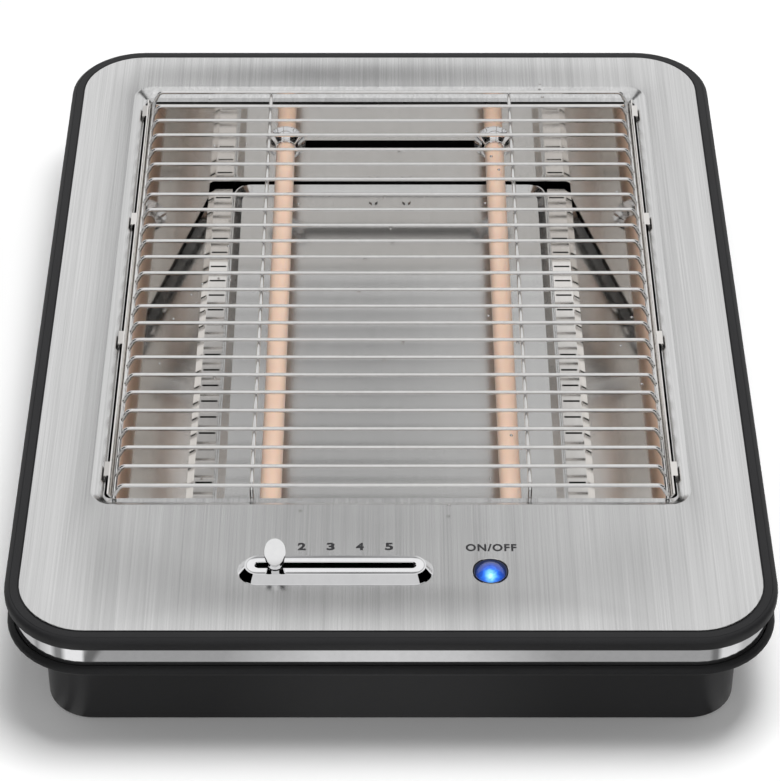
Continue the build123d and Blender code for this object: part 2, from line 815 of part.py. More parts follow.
def board_standoffs():
    """Threaded pillars welded under the plate."""
    result = []
    for x, y in standoff_places():
        pillar = Pos(x, y) * slab(RegularPolygon(standoff_radius, 6), board_top, plate_under)
        pillar -= rod_z_axis(x, y, board_top - 1, board_top + 6, screw_radius + screw_bore_gap)
        result.append(pillar)
    return result


def screw_up(x, y, seat, length):
    """Screw driven upwards, with its head below seat."""
    head = rod_z_axis(x, y, seat - screw_head_height, seat, screw_head_radius)
    screw = head + rod_z_axis(x, y, seat, seat + length, screw_radius)
    return screw - block(x - 1.6, x + 1.6, y - 0.3, y + 0.3, seat - screw_head_height - 1,
                         seat - screw_head_height + 0.8)


def screw_down(x, y, seat, length):
    head = rod_z_axis(x, y, seat, seat + screw_head_height, screw_head_radius)
    screw = head + rod_z_axis(x, y, seat - length, seat, screw_radius)
    return screw - block(x - 1.6, x + 1.6, y - 0.3, y + 0.3, seat + screw_head_height - 0.8,
                         seat + screw_head_height + 1)


def board_screws():
    return [screw_up(x, y, board_top - board_thick, 7.0) for x, y in standoff_places()]


def housing_screws():
    return [screw_up(x, y, band_bottom - lip_wall, 9.5) for x, y in boss_places()]


def chamber_screws():
    return [screw_down(x, y, wall_foot_z + sheet, 8.5) for x, y in post_places()]


def rubber_feet():
    return [rod_z_axis(sx * foot_x, sy * foot_y, 0, foot_stand + foot_sink, foot_radius - 0.2)
            for sx in (-1, 1) for sy in (-1, 1)]


def relay():
    low = board_top - board_thick
    return block(-52, -33, -162, -147, low - 15, low)


def capacitor():
    low = board_top - board_thick
    body = block(-20, 2, -160, -150, low - 14, low)
    return fillet(body.edges().filter_by(Axis.Z), 1.5)


def terminal_block():
    low = board_top - board_thick
    body = block(18, 44, -148, -137, low - 12, low)
    for i in range(3):
        x = 22.5 + i * 8.5
        body -= block(x - 2.5, x + 2.5, -138.5, -136, low - 10, low - 4)
    return body


def thermostat():
    """Round cut-out on the back of the rear wall."""
    y = chamber_back + sheet
    body = rod_y_axis(0, plate_top - 12.0, y, y + 6.0, 7.0)
    body += block(-12, 12, y, y + 1.0, plate_top - 15.0, plate_top - 9.0)
    return body


def inlet_grommet():
    """Rubber grommet in the housing where the supply cord goes in."""
    back = housing_back
    bore = inlet_bore
    points = [(bore, back - housing_wall - 2.0), (inlet_flange - 1, back - housing_wall - 2.0),
              (inlet_flange - 1, back - housing_wall - 0.1), (inlet_radius - 0.1, back - housing_wall - 0.1),
              (inlet_radius - 0.1, back + 0.1), (inlet_flange, back + 0.1), (inlet_flange - 1, back + 2.5),
              (bore, back + 2.5)]
    face = make_face(Polyline(*[(r, 0, y) for r, y in points], close=True))
    return Pos(inlet_x, 0, inlet_z) * Rot(-90, 0, 0) * revolve(face, Axis.Z, 360)


nodes = {
    "top_plate": top_plate,
    "upper_rim": upper_rim,
    "trim_band": trim_band,
    "base_housing": base_housing,
    "rubber_feet": rubber_feet,
    "housing_screws": housing_screws,
    "front_wall": front_wall,
    "rear_wall": rear_wall,
    "side_reflector_right": side_reflector_right,
    "side_reflector_left": lambda: mirrored(side_reflector_right()),
    "chamber_screws": chamber_screws,
    "quartz_tube_left": lambda: quartz_tube(-1),
    "quartz_tube_right": lambda: quartz_tube(1),
    "heating_coil_left": lambda: heating_coil(-1),
    "heating_coil_right": lambda: heating_coil(1),
    "tube_rings": tube_rings,
    "end_caps": end_caps,
    "tube_terminals": tube_terminals,
    "tube_brackets": tube_brackets,
    "rack_cross_wires": rack_cross_wires,
    "rack_long_wires": rack_long_wires,
    "rack_side_rods": rack_side_rods,
    "heat_shield": heat_shield,
    "tray_runner_left": lambda: tray_runner(-1),
    "tray_runner_right": lambda: tray_runner(1),
    "crumb_tray": crumb_tray,
    "tray_rivets": tray_rivets,
    "tray_catch": tray_catch,
    "tray_front": tray_front,
    "slider_bezel": slider_bezel,
    "slider_knob": slider_knob,
    "slider_lever": slider_lever,
    "slide_potentiometer": slide_potentiometer,
    "button_bezel": button_bezel,
    "button_lens": button_lens,
    "button_plunger": button_plunger,
    "button_spring": button_spring,
    "push_switch": push_switch,
    "status_led": status_led,
    "control_board": control_board,
    "board_standoffs": board_standoffs,
    "board_screws": board_screws,
    "relay": relay,
    "capacitor": capacitor,
    "terminal_block": terminal_block,
    "thermostat": thermostat,
    "inlet_grommet": inlet_grommet,
}

os.makedirs("parts", exist_ok=True)
for name, make in nodes.items():
    shape = make()
    if isinstance(shape, list):
        shape = Compound(children=shape)
    export_step(shape, f"parts/{name}.step")
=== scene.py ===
import math

import bmesh
import bpy
from mathutils import Matrix, Vector


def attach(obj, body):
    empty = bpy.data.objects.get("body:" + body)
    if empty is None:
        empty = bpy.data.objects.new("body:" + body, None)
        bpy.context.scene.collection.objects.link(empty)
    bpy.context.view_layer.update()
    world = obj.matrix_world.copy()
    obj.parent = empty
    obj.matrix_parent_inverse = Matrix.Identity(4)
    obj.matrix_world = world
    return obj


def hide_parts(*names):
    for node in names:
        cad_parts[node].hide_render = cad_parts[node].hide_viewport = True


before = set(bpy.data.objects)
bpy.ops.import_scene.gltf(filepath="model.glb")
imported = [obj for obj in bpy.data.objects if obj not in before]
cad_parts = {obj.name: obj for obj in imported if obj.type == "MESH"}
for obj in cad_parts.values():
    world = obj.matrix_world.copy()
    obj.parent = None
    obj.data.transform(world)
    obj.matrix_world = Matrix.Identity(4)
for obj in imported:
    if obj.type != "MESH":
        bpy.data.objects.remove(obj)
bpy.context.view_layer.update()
scene = bpy.context.scene
mm = 0.001
plateTop = 57.3
print("frame loaded:", len(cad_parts), "nodes")


# node helpers

def addNode(tree, kind, links=(), **values):
    node = tree.nodes.new(kind)
    for key, value in values.items():
        if key.startswith("in_"):
            socket = key[3:]
            node.inputs[int(socket) if socket.isdigit() else socket].default_value = value
        else:
            setattr(node, key, value)
    for socket, source in links:
        tree.links.new(source, node.inputs[socket])
    return node


def mathNode(tree, operation, first, second=None):
    node = addNode(tree, "ShaderNodeMath", operation=operation)
    for index, value in enumerate((first, second)):
        if value is None:
            continue
        if isinstance(value, (int, float)):
            node.inputs[index].default_value = value
        else:
            tree.links.new(value, node.inputs[index])
    return node.outputs[0]


def product(tree, first, *others):
    for other in others:
        first = mathNode(tree, "MULTIPLY", first, other)
    return first


def lessened(tree, level, mask):
    # all of the level where the mask is 0, and none where it is 1
    return product(tree, level, mathNode(tree, "SUBTRACT", 1.0, mask))


def rampNode(tree, source, stops):
    node = addNode(tree, "ShaderNodeValToRGB", [(0, source)])
    ramp = node.color_ramp
    while len(ramp.elements) < len(stops):
        ramp.elements.new(0.5)
    for element, (place, colour) in zip(ramp.elements, stops):
        element.position = place
        element.color = (*colour, 1)
    return node.outputs[0]


def mapRange(tree, source, fromLow, fromHigh, toLow, toHigh, smooth=False):
    node = addNode(tree, "ShaderNodeMapRange", [(0, source)], in_1=fromLow, in_2=fromHigh,
                   in_3=toLow, in_4=toHigh)
    if smooth:
        node.interpolation_type = "SMOOTHSTEP"
    return node.outputs[0]


def zone(tree, source, edges):
    # the edges are where the zone starts and is full, and then maybe where it fades and ends
    inside = mapRange(tree, source, *edges[:2], 0.0, 1.0, True)
    if len(edges) == 4:
        inside = product(tree, inside, mapRange(tree, source, *edges[2:], 1.0, 0.0, True))
    return inside


def mixColour(tree, factor, first, second):
    node = addNode(tree, "ShaderNodeMix", data_type="RGBA")
    for socket, value in ((0, factor), (6, first), (7, second)):
        if isinstance(value, tuple):
            node.inputs[socket].default_value = (*value, 1)
        else:
            tree.links.new(value, node.inputs[socket])
    return node.outputs[2]


def newGroup(name, inputs, outputs):
    tree = bpy.data.node_groups.new(name, "ShaderNodeTree")
    for label, kind, value in inputs:
        socket = tree.interface.new_socket(label, in_out="INPUT", socket_type=kind)
        if value is not None:
            socket.default_value = value
    for label, kind in outputs:
        tree.interface.new_socket(label, in_out="OUTPUT", socket_type=kind)
    return tree, tree.nodes.new("NodeGroupInput"), tree.nodes.new("NodeGroupOutput")


# shared finishes

def makeGrain():
    # lines along Y, as an abrasive belt leaves them
    tree, given, out = newGroup("beltLines", [
        ("Place", "NodeSocketVector", None),
        ("Lines", "NodeSocketFloat", 900.0),
        ("Length", "NodeSocketFloat", 8.0),
    ], [("Shade", "NodeSocketFloat"), ("Broad", "NodeSocketFloat")])
    scale = addNode(tree, "ShaderNodeCombineXYZ", [
        (0, given.outputs["Lines"]), (1, given.outputs["Length"]), (2, given.outputs["Lines"])])
    moved = addNode(tree, "ShaderNodeVectorMath", [(0, given.outputs["Place"]), (1, scale.outputs[0])],
                    operation="MULTIPLY")
    fine = addNode(tree, "ShaderNodeTexNoise", [("Vector", moved.outputs[0])], in_Scale=1.0,
                   in_Detail=4.0, in_Roughness=0.65)
    wide = addNode(tree, "ShaderNodeVectorMath", [(0, moved.outputs[0])], operation="MULTIPLY")
    wide.inputs[1].default_value = (0.16, 0.3, 0.16)
    broad = addNode(tree, "ShaderNodeTexNoise", [("Vector", wide.outputs[0])], in_Scale=1.0,
                    in_Detail=3.0, in_Roughness=0.6)
    tree.links.new(fine.outputs[0], out.inputs["Shade"])
    tree.links.new(broad.outputs[0], out.inputs["Broad"])
    return tree


def makeMarks():
    # soft smears from handling, and a few specks of dust
    tree, given, out = newGroup("handlingMarks", [
        ("Place", "NodeSocketVector", None),
        ("Size", "NodeSocketFloat", 30.0),
    ], [("Smear", "NodeSocketFloat"), ("Dust", "NodeSocketFloat")])
    smear = addNode(tree, "ShaderNodeTexNoise", [("Vector", given.outputs["Place"]),
                                                 ("Scale", given.outputs["Size"])],
                    in_Detail=4.0, in_Roughness=0.55, in_Distortion=0.6)
    specks = addNode(tree, "ShaderNodeTexVoronoi", [("Vector", given.outputs["Place"])], in_Scale=420.0)
    dust = mapRange(tree, specks.outputs["Distance"], 0.04, 0.09, 1.0, 0.0)
    rare = addNode(tree, "ShaderNodeTexNoise", [("Vector", given.outputs["Place"])], in_Scale=60.0)
    some = mapRange(tree, rare.outputs[0], 0.56, 0.62, 0.0, 1.0)
    tree.links.new(smear.outputs[0], out.inputs["Smear"])
    tree.links.new(product(tree, dust, some), out.inputs["Dust"])
    return tree


def makeTexture():
    # spark-eroded mould texture on black plastic
    tree, given, out = newGroup("mouldTexture", [
        ("Place", "NodeSocketVector", None),
        ("Size", "NodeSocketFloat", 2200.0),
    ], [("Height", "NodeSocketFloat")])
    grains = addNode(tree, "ShaderNodeTexVoronoi", [("Vector", given.outputs["Place"]),
                                                    ("Scale", given.outputs["Size"])])
    soft = addNode(tree, "ShaderNodeTexNoise", [("Vector", given.outputs["Place"]),
                                                ("Scale", given.outputs["Size"])], in_Detail=2.0)
    tree.links.new(mathNode(tree, "ADD", grains.outputs["Distance"], soft.outputs[0]), out.inputs["Height"])
    return tree


groups = {"beltLines": makeGrain(), "handlingMarks": makeMarks(), "mouldTexture": makeTexture()}


def groupNode(tree, name, place, **values):
    node = tree.nodes.new("ShaderNodeGroup")
    node.node_tree = groups[name]
    tree.links.new(place, node.inputs["Place"])
    for key, value in values.items():
        node.inputs[key].default_value = value
    return node


def startMaterial(name, **values):
    material = bpy.data.materials.new(name)
    material.use_nodes = True
    tree = material.node_tree
    shader = tree.nodes["Principled BSDF"]
    for key, value in values.items():
        shader.inputs[key.replace("_", " ")].default_value = value
    place = tree.nodes.new("ShaderNodeTexCoord").outputs["Object"]
    return material, tree, shader, place


def bumpInto(tree, shader, height, distance):
    bump = addNode(tree, "ShaderNodeBump", [("Height", height)], in_Strength=1.0, in_Distance=distance)
    tree.links.new(bump.outputs[0], shader.inputs["Normal"])


def metalFinish(name, dark, light, rough, lines, length, depth, marks=0.06, anisotropic=0.0):
    material, tree, shader, place = startMaterial(name, Metallic=1.0, Anisotropic=anisotropic)
    grain = groupNode(tree, "beltLines", place, Lines=lines, Length=length)
    smear = groupNode(tree, "handlingMarks", place, Size=28.0)
    both = mathNode(tree, "ADD", product(tree, grain.outputs["Shade"], 0.6),
                    product(tree, grain.outputs["Broad"], 0.4))
    share = mapRange(tree, both, 0.3, 0.7, 0.0, 1.0)
    tree.links.new(mixColour(tree, share, dark, light), shader.inputs["Base Color"])
    change = product(tree, mathNode(tree, "SUBTRACT", smear.outputs["Smear"], 0.5), marks)
    tree.links.new(mathNode(tree, "ADD", change, rough), shader.inputs["Roughness"])
    bumpInto(tree, shader, both, depth)
    return material


def plasticFinish(name, colour, rough, depth=0.00002, size=2200.0, coat=0.0, specular=0.5):
    material, tree, shader, place = startMaterial(name, Specular_IOR_Level=specular, Coat_Weight=coat)
    texture = groupNode(tree, "mouldTexture", place, Size=size)
    marks = groupNode(tree, "handlingMarks", place, Size=22.0)
    darker = tuple(value * 0.88 for value in colour)
    lighter = tuple(min(1.0, value * 1.12) for value in colour)
    share = mapRange(tree, marks.outputs["Smear"], 0.35, 0.65, 0.0, 1.0)
    tint = mixColour(tree, share, darker, lighter)
    dusty = product(tree, marks.outputs["Dust"], 0.05)
    tree.links.new(mixColour(tree, dusty, tint, (0.5, 0.5, 0.5)), shader.inputs["Base Color"])
    tree.links.new(mapRange(tree, marks.outputs["Smear"], 0.3, 0.7, rough - 0.04, rough + 0.04),
                   shader.inputs["Roughness"])
    bumpInto(tree, shader, texture.outputs["Height"], depth)
    return material


print("shared finishes ready")


# mesh helpers, in millimetres

def soften(points, closed=True, steps=4):
    # corner points as (across, up, radius) become a line with rounded corners
    line = []
    for index, (across, up, radius) in enumerate(points):
        if radius == 0 or (not closed and index in (0, len(points) - 1)):
            line.append((across, up))
            continue
        here = Vector((across, up))
        before = (Vector(points[index - 1][:2]) - here).normalized()
        after = (Vector(points[(index + 1) % len(points)][:2]) - here).normalized()
        half = before.angle(after) / 2
        centre = here + (before + after).normalized() * radius / math.sin(half)
        start = here + before * radius / math.tan(half) - centre
        end = here + after * radius / math.tan(half) - centre
        for step in range(steps + 1):
            spoke = start.slerp(end, step / steps) * radius
            line.append((centre.x + spoke.x, centre.y + spoke.y))
    return line


def boxRing(left, right, front, back, corner, height, steps=12):
    ring = []
    for index, (sideX, sideY) in enumerate(((1, 1), (0, 1), (0, 0), (1, 0))):
        centreX = right - corner if sideX else left + corner
        centreY = back - corner if sideY else front + corner
        for step in range(steps + 1):
            angle = math.radians(90 * (index + step / steps))
            ring.append((centreX + corner * math.cos(angle), centreY + corner * math.sin(angle), height))
    return ring


def slotRing(centreX, centreY, length, width, height, steps=16):
    ring = []
    run = (length - width) / 2
    for side in (1, -1):
        for step in range(steps + 1):
            angle = math.radians(-90 * side + 180 * step / steps)
            ring.append((centreX + side * run + width / 2 * math.cos(angle),
                         centreY + width / 2 * math.sin(angle), height))
    return ring


def roundRing(centreX, centreY, radius, height, steps=48):
    return [(centreX + radius * math.cos(math.tau * step / steps),
             centreY + radius * math.sin(math.tau * step / steps), height) for step in range(steps)]


def standAlongY(ring, centreX, centreZ):
    # a ring drawn about the vertical is laid over, so that its height runs along Y
    return [(centreX + x, height, centreZ + y) for x, y, height in ring]


def skinMesh(bm, rings, closed):
    rows = [[bm.verts.new(Vector(point) * mm) for point in ring] for ring in rings]
    pairs = list(zip(rows, rows[1:]))
    if closed:
        pairs.append((rows[-1], rows[0]))
    for first, second in pairs:
        for index in range(len(first)):
            following = (index + 1) % len(first)
            bm.faces.new((first[index], first[following], second[following], second[index]))
    if not closed:
        bm.faces.new(rows[0][::-1])
        bm.faces.new(rows[-1])


def finishMesh(bm, name, sharpness=32):
    bmesh.ops.remove_doubles(bm, verts=bm.verts, dist=1e-7)
    bmesh.ops.recalc_face_normals(bm, faces=bm.faces)
    mesh = bpy.data.meshes.new(name)
    bm.to_mesh(mesh)
    bm.free()
    mesh.polygons.foreach_set("use_smooth", [True] * len(mesh.polygons))
    mesh.set_sharp_from_angle(angle=math.radians(sharpness))
    mesh.update()
    return mesh


def placePiece(mesh, material, stands=(), body="body"):
    piece = bpy.data.objects.new(mesh.name, mesh)
    scene.collection.objects.link(piece)
    mesh.materials.clear()
    mesh.materials.append(material)
    mesh.polygons.foreach_set("material_index", [0] * len(mesh.polygons))
    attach(piece, body)
    if stands:
        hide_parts(*stands)


def skinPiece(name, rings, closed, material, stands=(), body="body", sharpness=32):
    bm = bmesh.new()
    skinMesh(bm, rings, closed)
    placePiece(finishMesh(bm, name, sharpness), material, stands, body)


def cutMesh(mesh, cutter):
    body = bpy.data.objects.new("cutBody", mesh)
    tool = bpy.data.objects.new("cutTool", cutter)
    for thing in (body, tool):
        scene.collection.objects.link(thing)
    modifier = body.modifiers.new("cut", "BOOLEAN")
    modifier.operation = "DIFFERENCE"
    modifier.solver = "EXACT"
    modifier.object = tool
    bpy.context.view_layer.update()
    made = bpy.data.meshes.new_from_object(body.evaluated_get(bpy.context.evaluated_depsgraph_get()))
    made.name = mesh.name
    for thing in (body, tool):
        bpy.data.objects.remove(thing)
    made.polygons.foreach_set("use_smooth", [True] * len(made.polygons))
    made.set_sharp_from_angle(angle=math.radians(32))
    return made


# geometry trees

def newTree(name, inputs):
    tree = bpy.data.node_groups.new(name, "GeometryNodeTree")
    tree.interface.new_socket("Geometry", in_out="INPUT", socket_type="NodeSocketGeometry")
    for label, kind in inputs:
        tree.interface.new_socket(label, in_out="INPUT", socket_type=kind)
    tree.interface.new_socket("Geometry", in_out="OUTPUT", socket_type="NodeSocketGeometry")
    return tree, tree.nodes.new("NodeGroupInput"), tree.nodes.new("NodeGroupOutput")


def makeRowTree():
    # repeats the given mesh along a straight row, each one a little off as hand-loaded wires are
    tree, given, out = newTree("rowOfPieces", [
        ("Count", "NodeSocketInt"), ("Step", "NodeSocketVector"), ("Drift", "NodeSocketVector"),
        ("Tilt", "NodeSocketFloat"), ("Seed", "NodeSocketInt"), ("Finish", "NodeSocketMaterial")])
    row = addNode(tree, "GeometryNodeMeshLine", [("Count", given.outputs["Count"]),
                                                 ("Offset", given.outputs["Step"])])
    low = addNode(tree, "ShaderNodeVectorMath", [(0, given.outputs["Drift"])], operation="SCALE",
                  in_Scale=-1.0)
    drift = addNode(tree, "FunctionNodeRandomValue", [
        (0, low.outputs[0]), (1, given.outputs["Drift"]), ("Seed", given.outputs["Seed"])],
        data_type="FLOAT_VECTOR")
    moved = addNode(tree, "GeometryNodeSetPosition", [("Geometry", row.outputs[0]),
                                                      ("Offset", drift.outputs[0])])
    negative = addNode(tree, "ShaderNodeMath", [(0, given.outputs["Tilt"])], operation="MULTIPLY",
                       in_1=-1.0)
    turn = addNode(tree, "FunctionNodeRandomValue", [
        (2, negative.outputs[0]), (3, given.outputs["Tilt"]), ("Seed", given.outputs["Seed"])],
        data_type="FLOAT")
    angles = addNode(tree, "ShaderNodeCombineXYZ", [(2, turn.outputs[1])])
    copies = addNode(tree, "GeometryNodeInstanceOnPoints", [
        ("Points", moved.outputs[0]), ("Instance", given.outputs["Geometry"]),
        ("Rotation", angles.outputs[0])])
    real = addNode(tree, "GeometryNodeRealizeInstances", [(0, copies.outputs[0])])
    coloured = addNode(tree, "GeometryNodeSetMaterial", [
        ("Geometry", real.outputs[0]), ("Material", given.outputs["Finish"])])
    tree.links.new(coloured.outputs[0], out.inputs[0])
    return tree


def makeWireTree():
    # gives a curve the round section of drawn wire, with closed ends
    tree, given, out = newTree("drawnWire", [
        ("Radius", "NodeSocketFloat"), ("Sides", "NodeSocketInt"), ("Finish", "NodeSocketMaterial")])
    section = addNode(tree, "GeometryNodeCurvePrimitiveCircle", [
        ("Resolution", given.outputs["Sides"]), ("Radius", given.outputs["Radius"])])
    swept = addNode(tree, "GeometryNodeCurveToMesh", [
        ("Curve", given.outputs["Geometry"]), ("Profile Curve", section.outputs[0])])
    swept.inputs["Fill Caps"].default_value = True
    smooth = addNode(tree, "GeometryNodeSetShadeSmooth", [("Geometry", swept.outputs[0])])
    real = addNode(tree, "GeometryNodeRealizeInstances", [(0, smooth.outputs[0])])
    coloured = addNode(tree, "GeometryNodeSetMaterial", [
        ("Geometry", real.outputs[0]), ("Material", given.outputs["Finish"])])
    tree.links.new(coloured.outputs[0], out.inputs[0])
    return tree


rowTree, wireTree = makeRowTree(), makeWireTree()


def runTree(source, tree, name, **values):
    # the holder and its modifier go, and the plain mesh stays
    holder = bpy.data.objects.new("treeHolder", source)
    scene.collection.objects.link(holder)
    modifier = holder.modifiers.new("tree", "NODES")
    modifier.node_group = tree
    sockets = {item.name: item.identifier for item in tree.interface.items_tree if item.in_out == "INPUT"}
    for key, value in values.items():
        modifier[sockets[key]] = value
    bpy.context.view_layer.update()
    made = bpy.data.meshes.new_from_object(holder.evaluated_get(bpy.context.evaluated_depsgraph_get()))
    made.name = name
    bpy.data.objects.remove(holder)
    return made


def pathCurve(name, points, radius):
    # straight runs with corners rounded to a radius
    line = []
    for index, point in enumerate(points):
        here = Vector(point)
        if index in (0, len(points) - 1):
            line.append(here)
            continue
        before = (Vector(points[index - 1]) - here).normalized()
        after = (Vector(points[index + 1]) - here).normalized()
        half = before.angle(after) / 2
        centre = here + (before + after).normalized() * radius / math.sin(half)
        start = here + before * radius / math.tan(half) - centre
        end = here + after * radius / math.tan(half) - centre
        line += [centre + start.slerp(end, step / 6) * radius for step in range(7)]
    curve = bpy.data.curves.new(name, "CURVE")
    curve.dimensions = "3D"
    spline = curve.splines.new("POLY")
    spline.points.add(len(line) - 1)
    for knot, point in zip(spline.points, line):
        knot.co = (*(point * mm), 1)
    return curve


print("mesh tools ready")


# camera

camera = {"place": (-0.00213, -0.9426, 0.8158), "tilt": 49.646, "lens": 137.48, "shift": 0.00613}
lens = bpy.data.cameras.new("photoCamera")
lens.lens = camera["lens"]
lens.sensor_width = 36.0
lens.shift_x = camera["shift"]
lens.clip_start = 0.05
viewer = bpy.data.objects.new("photoCamera", lens)
viewer.location = camera["place"]
viewer.rotation_euler = (math.radians(camera["tilt"]), 0, 0)
scene.collection.objects.link(viewer)
scene.camera = viewer
scene.view_settings.view_transform = "Standard"


# studio

# heights and sides in the world are parts of a direction of length 1, and zones are given by their edges
studio = {"fill": 0.41, "key": 15.2, "keyPlace": (0.15, -0.088, 1.4), "keySize": 0.55, "lift": 0.075,
          "behind": (0.1, 0.3), "gloss": 0.86, "low": 1.26, "lowHeight": (0.63, 0.70),
          "front": 0.70, "frontDepth": (-0.68, -0.48)}
backGap = {"place": 0.013, "level": 0.05, "width": 0.125, "height": (0.40, 0.48, 0.76, 0.84),
           "faint": 0.7, "faintHeight": (0.575, 0.60, 0.61, 0.635)}
sideFlags = {"side": (0.22, 0.26, 0.42, 0.46), "height": (0.78, 0.80, 0.91, 0.93), "dark": 0.97}
sideWalls = {"side": (0.50, 0.53), "depth": (-0.66, -0.63, 0.42, 0.46), "height": (0.02, 0.06)}
smallCard = {"place": 0.015, "halfWidth": (0.05, 0.06), "height": 0.691, "halfHeight": (0.010, 0.014)}


def makeWorld():
    world = bpy.data.worlds.new("studio")
    scene.world = world
    world.use_nodes = True
    tree = world.node_tree
    tree.nodes.clear()
    direction = tree.nodes.new("ShaderNodeTexCoord").outputs["Generated"]
    x, y, z = addNode(tree, "ShaderNodeSeparateXYZ", [(0, direction)]).outputs
    sideways = mathNode(tree, "ABSOLUTE", x)
    behind = mapRange(tree, y, *studio["behind"], 0.0, 1.0)
    # a darker gap between two soft boxes behind the object, at the height that the flat top mirrors;
    # it is faint half way up, where the long sides of the plate and the tray look
    fromGap = mathNode(tree, "ABSOLUTE", mathNode(tree, "ADD", x, backGap["place"]))
    gap = product(tree, mapRange(tree, fromGap, 0.0, backGap["width"], 1.0, 0.0), behind,
                  zone(tree, z, backGap["height"]))
    gap = lessened(tree, gap, product(tree, zone(tree, z, backGap["faintHeight"]), backGap["faint"]))
    level = mathNode(tree, "SUBTRACT", studio["gloss"],
                     product(tree, gap, studio["gloss"] - backGap["level"]))
    # black flags high up at both sides
    flags = product(tree, zone(tree, sideways, sideFlags["side"]), zone(tree, z, sideFlags["height"]),
                    behind, sideFlags["dark"])
    level = lessened(tree, level, flags)
    level = product(tree, level, mapRange(tree, z, *studio["lowHeight"], studio["low"], 1.0))
    # a black wall at either side
    walls = product(tree, zone(tree, sideways, sideWalls["side"]), zone(tree, y, sideWalls["depth"]),
                    zone(tree, z, sideWalls["height"]))
    level = lessened(tree, level, walls)
    # a dimmer wall in front, and a small card that only the flat polished pieces pick up
    ahead = mapRange(tree, y, *studio["frontDepth"], studio["front"], studio["gloss"], True)
    level = mathNode(tree, "MINIMUM", level, ahead)
    fromCard = mathNode(tree, "ABSOLUTE", mathNode(tree, "ADD", x, smallCard["place"]))
    aboveCard = mathNode(tree, "ABSOLUTE", mathNode(tree, "SUBTRACT", z, smallCard["height"]))
    card = product(tree, mapRange(tree, fromCard, *smallCard["halfWidth"], 1.0, 0.0),
                   mapRange(tree, aboveCard, *smallCard["halfHeight"], 1.0, 0.0), behind)
    level = mathNode(tree, "MAXIMUM", level, card)
    path = tree.nodes.new("ShaderNodeLightPath")
    isGlossy = path.outputs["Is Glossy Ray"]
    plain = product(tree, mathNode(tree, "SUBTRACT", 1.0, isGlossy), studio["fill"])
    seen = mathNode(tree, "ADD", product(tree, isGlossy, level), plain)
    strength = mathNode(tree, "MAXIMUM", seen, path.outputs["Is Camera Ray"])
    background = addNode(tree, "ShaderNodeBackground", [("Strength", strength)], in_Color=(1, 1, 1, 1))
    output = tree.nodes.new("ShaderNodeOutputWorld")
    tree.links.new(background.outputs[0], output.inputs[0])


def makeLamp():
    lamp = bpy.data.lights.new("softTop", "AREA")
    lamp.energy = studio["key"]
    lamp.size = studio["keySize"]
    holder = bpy.data.objects.new("softTop", lamp)
    holder.location = studio["keyPlace"]
    holder.rotation_euler = (-Vector(studio["keyPlace"])).to_track_quat("-Z", "Y").to_euler()
    holder.visible_glossy = False
    scene.collection.objects.link(holder)


# cards on the floor round the front, which only polished metal shows, as stops of (spot, level, share);
# the spots of the corners run over a right angle, from the front to the side
floorCards = {
    "middle": 0.68, "flat": 0.38, "bright": 0.95, "dark": 0.16, "side": 0.55, "half": 0.12,
    "corner": (0.1142, -0.1571),
    "front": [(0.0, "middle", 1), (0.22, "middle", 0.97), (0.55, "flat", 1), (1.0, "flat", 1)],
    "left": [(0.0, "flat", 1), (0.02, "dark", 1), (0.045, "dark", 1), (0.085, "bright", 1),
             (0.28, "bright", 1), (0.36, "dark", 1.6), (0.43, "dark", 1.6), (0.52, "bright", 0.8),
             (0.68, "side", 1), (0.75, "dark", 2), (0.83, "side", 1), (1.0, "side", 1)],
    "right": [(0.0, "flat", 1), (0.19, "flat", 1), (0.25, "dark", 1.2), (0.30, "dark", 1.2),
              (0.38, "bright", 0.85), (0.60, "bright", 0.85), (0.72, "side", 1), (1.0, "side", 1)],
}


def cardRamp(tree, spot, part):
    return rampNode(tree, spot, [(stop, (floorCards[level] * share,) * 3)
                                 for stop, level, share in floorCards[part]])


def makeCards(tree):
    place = tree.nodes.new("ShaderNodeTexCoord").outputs["Object"]
    x, y, _ = addNode(tree, "ShaderNodeSeparateXYZ", [(0, place)]).outputs
    sideways = mathNode(tree, "ABSOLUTE", x)
    front = cardRamp(tree, mapRange(tree, sideways, 0.0, floorCards["half"], 0.0, 1.0), "front")
    cornerX, cornerY = floorCards["corner"]
    across = mathNode(tree, "SUBTRACT", sideways, cornerX)
    along = mathNode(tree, "SUBTRACT", cornerY, y)
    turn = mathNode(tree, "DIVIDE", mathNode(tree, "ARCTAN2", across, along), math.pi / 2)
    corner = mixColour(tree, mathNode(tree, "GREATER_THAN", x, 0.0), cardRamp(tree, turn, "left"),
                       cardRamp(tree, turn, "right"))
    shown = mixColour(tree, mathNode(tree, "GREATER_THAN", across, 0.0), front, corner)
    return addNode(tree, "ShaderNodeEmission", [("Color", shown)]).outputs[0]


def makeFloor():
    mesh = bpy.data.meshes.new("floor")
    mesh.from_pydata([(-4, -4, 0), (4, -4, 0), (4, 4, 0), (-4, 4, 0)], [], [(0, 1, 2, 3)])
    floor = bpy.data.objects.new("floor", mesh)
    scene.collection.objects.link(floor)
    material = bpy.data.materials.new("paleFloor")
    material.use_nodes = True
    tree = material.node_tree
    tree.nodes.clear()
    path = tree.nodes.new("ShaderNodeLightPath")
    matte = addNode(tree, "ShaderNodeBsdfDiffuse", in_Color=(0.94, 0.94, 0.94, 1))
    lift = product(tree, path.outputs["Is Camera Ray"], studio["lift"])
    glow = addNode(tree, "ShaderNodeEmission", [("Strength", lift)], in_Color=(1, 1, 1, 1))
    plain = addNode(tree, "ShaderNodeAddShader", [(0, matte.outputs[0]), (1, glow.outputs[0])])
    seen = addNode(tree, "ShaderNodeMixShader", [
        (0, path.outputs["Is Glossy Ray"]), (1, plain.outputs[0]), (2, makeCards(tree))])
    output = tree.nodes.new("ShaderNodeOutputMaterial")
    tree.links.new(seen.outputs[0], output.inputs[0])
    mesh.materials.append(material)


